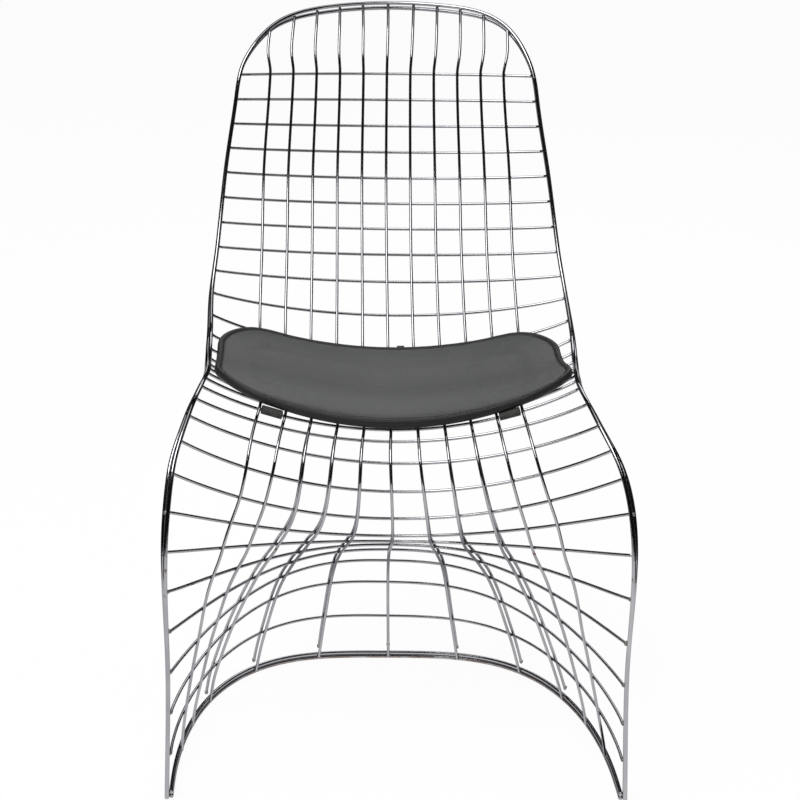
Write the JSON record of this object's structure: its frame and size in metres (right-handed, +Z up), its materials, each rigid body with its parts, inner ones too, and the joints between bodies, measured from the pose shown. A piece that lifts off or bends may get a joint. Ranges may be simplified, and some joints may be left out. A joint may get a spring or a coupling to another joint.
{
  "type": "wire mesh chair",
  "caption": "Chair of welded chromed wire: a dished back and seat that run on into a hollow skirt on a U-shaped floor bar, with a thin padded seat cushion.",
  "frame": {"origin": "on the floor under the middle of the whole chair", "axes": "the front faces -Y, +Z is up, +X is to the right as seen from the front"},
  "size_m": [0.5278, 0.673, 0.8102],
  "materials": {
    "chromed_wire": "bright chrome plating on round steel wire",
    "pad_cover": "smooth dark grey leatherette with a low sheen",
    "tie_strap": "black woven strap"
  },
  "bodies": {
    "root": {"back_cross_wire_01": "chromed_wire", "back_cross_wire_02": "chromed_wire", "back_cross_wire_03": "chromed_wire", "back_cross_wire_04": "chromed_wire", "back_cross_wire_05": "chromed_wire", "back_cross_wire_06": "chromed_wire", "back_cross_wire_07": "chromed_wire", "back_cross_wire_08": "chromed_wire", "back_cross_wire_09": "chromed_wire", "back_cross_wire_10": "chromed_wire", "seat_cross_wire_11": "chromed_wire", "seat_cross_wire_12": "chromed_wire", "seat_cross_wire_13": "chromed_wire", "seat_cross_wire_14": "chromed_wire", "seat_cross_wire_15": "chromed_wire", "seat_cross_wire_16": "chromed_wire", "seat_cross_wire_17": "chromed_wire", "seat_cross_wire_18": "chromed_wire", "seat_cross_wire_19": "chromed_wire", "seat_cross_wire_20": "chromed_wire", "skirt_cross_wire_21": "chromed_wire", "skirt_cross_wire_22": "chromed_wire", "skirt_cross_wire_23": "chromed_wire", "skirt_cross_wire_24": "chromed_wire", "skirt_cross_wire_25": "chromed_wire", "skirt_cross_wire_26": "chromed_wire", "skirt_cross_wire_27": "chromed_wire", "skirt_cross_wire_28": "chromed_wire", "skirt_cross_wire_29": "chromed_wire", "skirt_cross_wire_30": "chromed_wire", "long_wire_middle": "chromed_wire", "long_wire_left_1": "chromed_wire", "long_wire_left_2": "chromed_wire", "long_wire_left_3": "chromed_wire", "long_wire_left_4": "chromed_wire", "long_wire_left_5": "chromed_wire", "long_wire_right_1": "chromed_wire", "long_wire_right_2": "chromed_wire", "long_wire_right_3": "chromed_wire", "long_wire_right_4": "chromed_wire", "long_wire_right_5": "chromed_wire", "doubling_wire_middle": "chromed_wire", "doubling_wire_left_1": "chromed_wire", "doubling_wire_left_2": "chromed_wire", "doubling_wire_left_3": "chromed_wire", "doubling_wire_right_1": "chromed_wire", "doubling_wire_right_2": "chromed_wire", "doubling_wire_right_3": "chromed_wire", "front_rim_rod": "chromed_wire", "rear_rim_rod": "chromed_wire", "lower_floor_bar": "chromed_wire", "upper_floor_bar": "chromed_wire", "seat_pad": "pad_cover", "front_pad_tie_left": "tie_strap", "front_pad_tie_right": "tie_strap", "rear_pad_tie": "tie_strap"}
  },
  "joints": []
}
